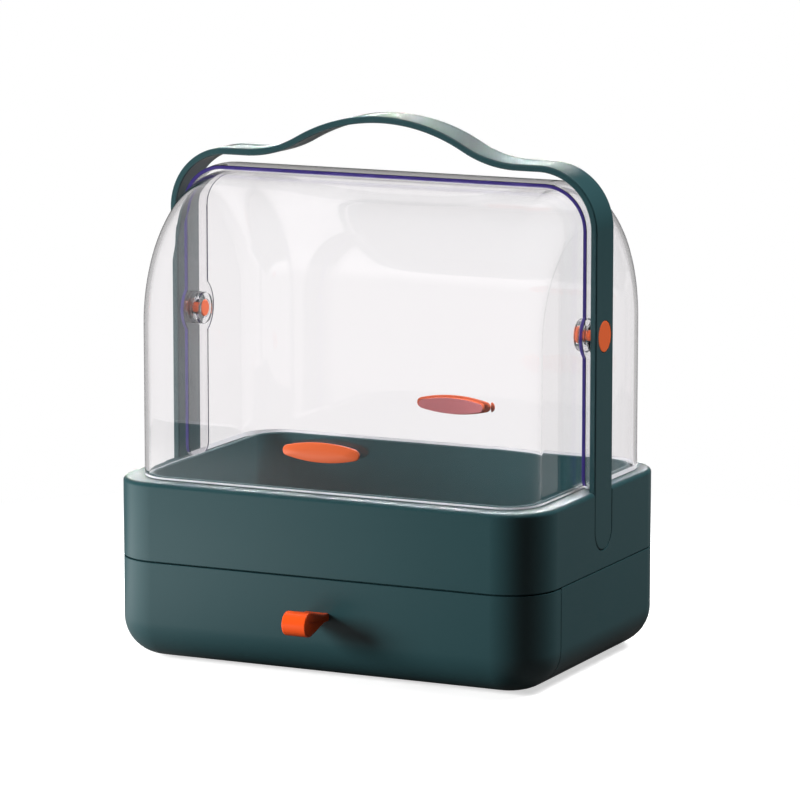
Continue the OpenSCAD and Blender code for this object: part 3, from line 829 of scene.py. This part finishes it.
def cover_sheet(name, half_w, arch_r, edge_r, ear_r, line):
    """Outer face of a cover at -Y, divided at the top of the painted highlight along its foot."""
    bm = bmesh.new()
    rows = [[bm.verts.new(p) for p in row] for row in cover_rows(half_w, arch_r, edge_r)]
    for a, b in zip(rows, rows[1:]):
        for i in range(len(a) - 1):
            bm.faces.new((a[i], a[i + 1], b[i + 1], b[i]))
    for end, x in ((0, -half_w), (-1, half_w)):
        loop = [row[end] for row in rows][::-1]
        bm.faces.new(loop + [bm.verts.new((x, y, z)) for y, z in cover_edge(ear_r)])
    bmesh.ops.bisect_plane(bm, geom=[*bm.verts, *bm.edges, *bm.faces],
                           plane_co=(0, 0, COVER_Z + line), plane_no=(0, 0, 1))
    bmesh.ops.recalc_face_normals(bm, faces=bm.faces)
    top = max(bm.faces, key=lambda f: f.calc_center_median().z)
    if top.normal.z < 0:
        bmesh.ops.reverse_faces(bm, faces=bm.faces)
    return link(name, bm)


def thicken(obj, slot, line):
    """Gives a cover's sheet its wall, inward, and its own materials to its cut edge, with painted
    shade, and to its foot, with a painted highlight.
    """
    for key in (slot, "clear_cut_shaded", "clear_foot_highlight"):
        obj.data.materials.append(MATERIALS[key])
    m = obj.modifiers.new("wall", "SOLIDIFY")
    m.thickness = COVER_T * MM
    m.offset = -1.0
    m.use_even_offset = True
    m.material_offset_rim = CUT_SHADE_INDEX
    bake_modifiers(obj)
    # Faces below the line along the foot take the painted highlight
    for face in obj.data.polygons:
        if face.center.z < (COVER_Z + line) * MM:
            face.material_index = FOOT_HIGHLIGHT_INDEX


def cover(node, slot, sizes, hubs, holes, turn):
    """Clear cover. sizes are cover_sheet's after its name, and hubs and holes are (radius, x0, x1)
    about the pivot. turn is 1, or -1 for the cover at +Y."""
    obj = cover_sheet(node + "_shell", *sizes)
    thicken(obj, slot, sizes[-1])
    for s, _ in SIDES:
        for r, x0, x1 in hubs:
            combine(obj, cylinder_x("hub", PIVOT_Z, r, s * x0, s * x1), "UNION")
        for r, x0, x1 in holes:
            combine(obj, cylinder_x("hole", PIVOT_Z, r, s * x0, s * x1))
    obj.data.transform(Matrix.Diagonal((turn, turn, 1, 1)))
    soften(obj, COVER_EDGE, segments=3, angle=50, smooth=35)
    return place_on(obj, node, slot, node)


def front_cover():
    """Inner cover, with hubs that stand inward and thin spacers outward."""
    sizes = (FRONT_HALF_W, FRONT_ARCH_R, FRONT_EDGE_R, FRONT_EAR_R, FRONT_HIGHLIGHT_LINE)
    wall_x = FRONT_HALF_W - COVER_T / 2
    hubs = [(HUB_R, HUB_X, wall_x), (SPACER_R, wall_x, SPACER_X)]
    holes = [(PIN_HOLE_R, HUB_X - PAST, SPACER_X + PAST),
             (PLUG_HEAD_R + SEAT_GAP, HUB_X - PAST, HUB_X + PLUG_HEAD_T + SEAT_GAP)]
    return cover("front_cover", "clear_front", sizes, hubs, holes, 1)


def rear_cover():
    """Outer cover, with hubs that stand outward to the handle."""
    sizes = (REAR_HALF_W, REAR_ARCH_R, REAR_EDGE_R, REAR_EAR_R, REAR_HIGHLIGHT_LINE)
    wall_x = REAR_HALF_W - COVER_T / 2
    hubs = [(HUB_R, wall_x, BAND_IN_X - SEAT_GAP)]
    holes = [(PIN_HOLE_R, wall_x - COVER_T, SIDE_X)]
    return cover("rear_cover", "clear_rear", sizes, hubs, holes, -1)


# Small pieces

def oval(w, h, end_r):
    """Oval with bowed long sides and round ends, as points (x, z)."""
    end_x = w / 2 - end_r
    side_r = (end_x ** 2 + (h / 2) ** 2 - end_r ** 2) / (h - 2 * end_r)
    side_z = side_r - h / 2
    meet = math.degrees(math.atan2(side_z, end_x))
    pts = arc(end_x, 0, end_r, -meet, meet, FINE)
    pts += arc(0, -side_z, side_r, meet, 180 - meet, 2 * FINE)[1:-1]
    pts += arc(-end_x, 0, end_r, 180 - meet, 180 + meet, FINE)
    pts += arc(0, side_z, side_r, 180 + meet, 360 - meet, 2 * FINE)[1:-1]
    return pts


def plate_oval(inset):
    return oval(PULL_W - 2 * inset, PULL_H - 2 * inset, PULL_END_R - inset)


def dome_levels(outline, low):
    """(oval, reach) levels of a pull's dome, from its rim to its top."""
    levels = []
    for i in range(1, DOME_RINGS + 1):
        t = i / DOME_RINGS
        along, up = [1 - shrink * t for shrink in DOME_SHRINK]
        pts = [(x * along, z * up) for x, z in outline]
        levels.append((pts, low + (PULL_REACH - low) * (1 - (1 - t) ** 2)))
    return levels


def pull(name, face_y, sign, body, node):
    """Oval plate with a domed face, on its foot.
    face_y is the cover's face, and sign points away from it."""
    foot = oval(PULL_FOOT_W, PULL_FOOT_H, PULL_FOOT_END_R)
    back, r, rim = PULL_REACH - PULL_PLATE, PULL_EDGE_R, PULL_REACH - DOME_H
    edge = arc(r, back + r, r, 270, 180, COARSE) + arc(r, rim - r, r, 180, DOME_FROM, COARSE)
    levels = [(foot, PULL_TAPE), (foot, back)] + [(plate_oval(x), y) for x, y in edge]
    levels += dome_levels(*levels[-1])
    rings = [[(x, face_y + sign * y, PULL_Z + z) for x, z in pts] for pts, y in levels]
    return place_on(shade(loft(name, rings), smooth=60), body, "orange_pull", node)


def knob_outline(inset):
    """Side view of the knob, on the YZ plane, drawn in by an inset."""
    r, half = KNOB_R - inset, NECK_HALF_T - inset
    run = NECK_Y - KNOB_Y
    start = math.degrees(math.acos(r / math.hypot(run, half)) + math.atan2(half, run))
    low, high = KNOB_Z - half, KNOB_Z + half
    neck = [(NECK_Y, low), (-DEPTH_Y, low), (-DEPTH_Y, high), (NECK_Y, high)]
    return arc(KNOB_Y, KNOB_Z, r, start, 360 - start, 4 * FINE) + neck


def knob_slot(side_x, end_x):
    """Fine slot across the knob's end, sloping down towards the drawer."""
    y, z, length = KNOB_Y - SLOT_START, KNOB_Z + SLOT_RISE, NECK_Y - KNOB_Y
    along = (length * math.cos(SLOT_TILT), -length * math.sin(SLOT_TILT))
    up = (SLOT_T * math.sin(SLOT_TILT), SLOT_T * math.cos(SLOT_TILT))
    far_y, far_z = y + along[0], z + along[1]
    pts = [(y, z), (far_y, far_z), (far_y + up[0], far_z + up[1]), (y + up[0], z + up[1])]
    return side_prism("slot", pts, side_x, end_x)


def knob():
    """Teardrop knob with rounded edges and a slot in each end."""
    r = KNOB_EDGE_R
    levels = [(depth - KNOB_HALF_W, inset) for inset, depth in arc(r, r, r, 270, 180, COARSE)]
    levels += [(-x, inset) for x, inset in levels[::-1]]
    obj = loft("knob_body", [[(x, y, z) for y, z in knob_outline(inset)] for x, inset in levels])
    for s, _ in SIDES:
        combine(obj, knob_slot(s * (KNOB_HALF_W - SLOT_T), s * (KNOB_HALF_W + PAST)))
    return place_on(shade(obj, smooth=35), "drawer", "orange_knob", "drawer_knob")


def pivots():
    """Pin with its cap outside and its plug's head inside, as one piece at each side."""
    cap_x = SIDE_X - CAP_T + HAIR_GAP
    head_x = HUB_X + PLUG_HEAD_T
    profile = [(HUB_X, PLUG_HEAD_R - PLUG_EDGE), (HUB_X + PLUG_EDGE, PLUG_HEAD_R),
               (head_x, PLUG_HEAD_R), (head_x + PLUG_STEP, PIN_R), (cap_x, PIN_R), (cap_x, CAP_R)]
    profile += arc(SIDE_X - CAP_EDGE_R, CAP_R - CAP_EDGE_R, CAP_EDGE_R, 90, 0, COARSE)
    for s, side in SIDES:
        obj = turned("pivot_" + side, profile, lambda h, a, b: (s * h, a, PIVOT_Z + b))
        shade(obj, smooth=30)
        place_on(obj, "base", "orange_pin", "pivot_pin_" + side, "pivot_plug_" + side)


def dress_cad_nodes():
    """Materials for the CAD nodes that stay in view."""
    slots = {s["node"]: s["material_slot"] for s in frame["record"]["subparts"]}
    for name, obj in frame["nodes"].items():
        obj.data.materials.clear()
        obj.data.materials.append(MATERIALS[slots[name]])


# Floor and background

def direct_rays(nodes, links):
    """1 for rays that come straight from the camera or through the clear covers."""
    path = nodes.new("ShaderNodeLightPath")
    return calculate(nodes, links, "MAXIMUM", path.outputs["Is Camera Ray"],
                     path.outputs["Is Transmission Ray"])


def seen_rays(nodes, links):
    """As direct_rays, but less for those that the covers have mirrored on the way."""
    path = nodes.new("ShaderNodeLightPath")
    share = ramp_of(nodes, links, path.outputs["Glossy Depth"], 0.0, 1.0, 1.0, MIRRORED_SHARE)
    return calculate(nodes, links, "MULTIPLY", direct_rays(nodes, links), share)


def distance_out(nodes, links):
    """Distance from the middle of the floor."""
    place = nodes.new("ShaderNodeTexCoord")
    far = nodes.new("ShaderNodeVectorMath")
    far.operation = "LENGTH"
    links.new(place.outputs["Object"], far.inputs[0])
    return far.outputs["Value"]


def across(nodes, links, direction):
    """Distance from the middle of the floor along a direction."""
    place = nodes.new("ShaderNodeTexCoord")
    dot = nodes.new("ShaderNodeVectorMath")
    dot.operation = "DOT_PRODUCT"
    dot.inputs[1].default_value = direction
    links.new(place.outputs["Object"], dot.inputs[0])
    return dot.outputs["Value"]


def painted_pool_zone(nodes, links):
    """1 on the floor where a glow is painted as a lamp's pool of light, in front of the object and
    to its left.
    """
    zone = ramp_of(nodes, links, across(nodes, links, POOL_ACROSS), *POOL_EDGE)
    front = ramp_of(nodes, links, across(nodes, links, FORWARD), *POOL_BACK)
    zone = calculate(nodes, links, "MULTIPLY", zone, front)
    for reach in (POOL_START, POOL_END):
        ring = ramp_of(nodes, links, distance_out(nodes, links), *reach)
        zone = calculate(nodes, links, "MULTIPLY", zone, ring)
    return zone


def away(nodes, links):
    """Rises from 0 near the object to 1 away from it, for direct rays."""
    far = ramp_of(nodes, links, distance_out(nodes, links), *WHITE_FROM)
    return calculate(nodes, links, "MULTIPLY", far, direct_rays(nodes, links))


def floor_glow(nodes, links, seen):
    """Strength of the floor's glow: where rays see it, and a painted pool of light for those that
    don't.
    """
    where = calculate(nodes, links, "MAXIMUM", seen, painted_pool_zone(nodes, links))
    strength = nodes.new("ShaderNodeMix")
    strength.inputs["A"].default_value = PAINTED_POOL_GLOW
    strength.inputs["B"].default_value = FLOOR_GLOW
    links.new(seen, strength.inputs["Factor"])
    return calculate(nodes, links, "MULTIPLY", where, strength.outputs["Result"])


def floor_material():
    """Pale floor with the object's faint shadow, white further out, and a painted pool of light
    that lights the object.
    """
    m, nodes, links, shader = new_material("floor")
    seen = seen_rays(nodes, links)
    dark, pale = [(tone, tone, tone) for tone in FLOOR_TONES]
    blend_colour(nodes, links, seen, dark, pale, shader.inputs["Base Color"])
    uneven = noise(nodes, links, FLOOR_SCALE)
    blend_value(nodes, links, uneven, *FLOOR_ROUGHNESS, shader.inputs["Roughness"])
    shader.inputs["Specular IOR Level"].default_value = FLOOR_SPECULAR
    shader.inputs["Emission Color"].default_value = WHITE
    links.new(floor_glow(nodes, links, seen), shader.inputs["Emission Strength"])
    white = nodes.new("ShaderNodeEmission")
    links.new(seen, white.inputs["Strength"])
    mix_shaders(nodes, links, away(nodes, links), shader.outputs["BSDF"],
                white.outputs["Emission"], nodes["Material Output"].inputs["Surface"])
    return m


def floor():
    """Round floor, a hair below the feet."""
    bm = bmesh.new()
    edge = arc(0, 0, FLOOR_R, 0, 360, FLOOR_FACETS)[:-1]
    bm.faces.new([bm.verts.new((x, y, 0)) for x, y in edge])
    obj = link("floor", bm)
    obj.location.z = -FLOOR_DROP
    obj.data.materials.append(floor_material())


def world():
    """White background, and a dim light all round."""
    w = bpy.data.worlds.new("studio")
    bpy.context.scene.world = w
    w.use_nodes = True
    nodes, links = w.node_tree.nodes, w.node_tree.links
    light, white = nodes["Background"], nodes.new("ShaderNodeBackground")
    light.inputs["Strength"].default_value = AMBIENT
    for background in (light, white):
        background.inputs["Color"].default_value = WHITE
    mix_shaders(nodes, links, seen_rays(nodes, links), light.outputs["Background"],
                white.outputs["Background"], nodes["World Output"].inputs["Surface"])


# Lamps and camera

def set_out(obj, aim, way, distance):
    """Puts a lamp or camera into the scene at a distance from its aim, looking at it."""
    obj.location = aim + way * distance
    obj.rotation_euler = (-way).to_track_quat("-Z", "Y").to_euler()
    bpy.context.scene.collection.objects.link(obj)


def way_out(turn, rise):
    """Direction at an angle from the front towards the right and an angle up."""
    flat = math.cos(rise)
    return Vector((math.sin(turn) * flat, -math.cos(turn) * flat, math.sin(rise)))


def softbox(name, turn, rise, distance, size, power, mirrored):
    """Area lamp aimed at the object, angles in degrees. None shows in or through the covers."""
    way = way_out(math.radians(turn), math.radians(rise))
    data = bpy.data.lights.new(name, "AREA")
    data.shape = "RECTANGLE"
    data.size, data.size_y = size
    data.energy = power
    data.cycles.use_multiple_importance_sampling = False
    obj = bpy.data.objects.new(name, data)
    obj.visible_glossy = mirrored
    obj.visible_transmission = False
    set_out(obj, LAMP_AIM, way, distance)


def camera():
    data = bpy.data.cameras.new("camera")
    data.lens = CAMERA_LENS
    data.sensor_width = CAMERA_SENSOR
    data.clip_end = CAMERA_REACH
    obj = bpy.data.objects.new("camera", data)
    set_out(obj, CAMERA_TARGET, way_out(CAMERA_TURN, CAMERA_RISE), CAMERA_DISTANCE)
    bpy.context.scene.camera = obj


housing()
feet()
drawer_front()
drawer_box()
tray()
handle()
front_cover()
rear_cover()
pull("front_pull_body", -FRONT_ARCH_R, -1, "front_cover", "front_pull")
pull("rear_pull_body", REAR_ARCH_R, 1, "rear_cover", "rear_pull")
knob()
pivots()
dress_cad_nodes()
floor()
world()
for lamp, values in LAMPS.items():
    softbox(lamp, *values)
camera()
bpy.context.scene.view_settings.view_transform = "Standard"
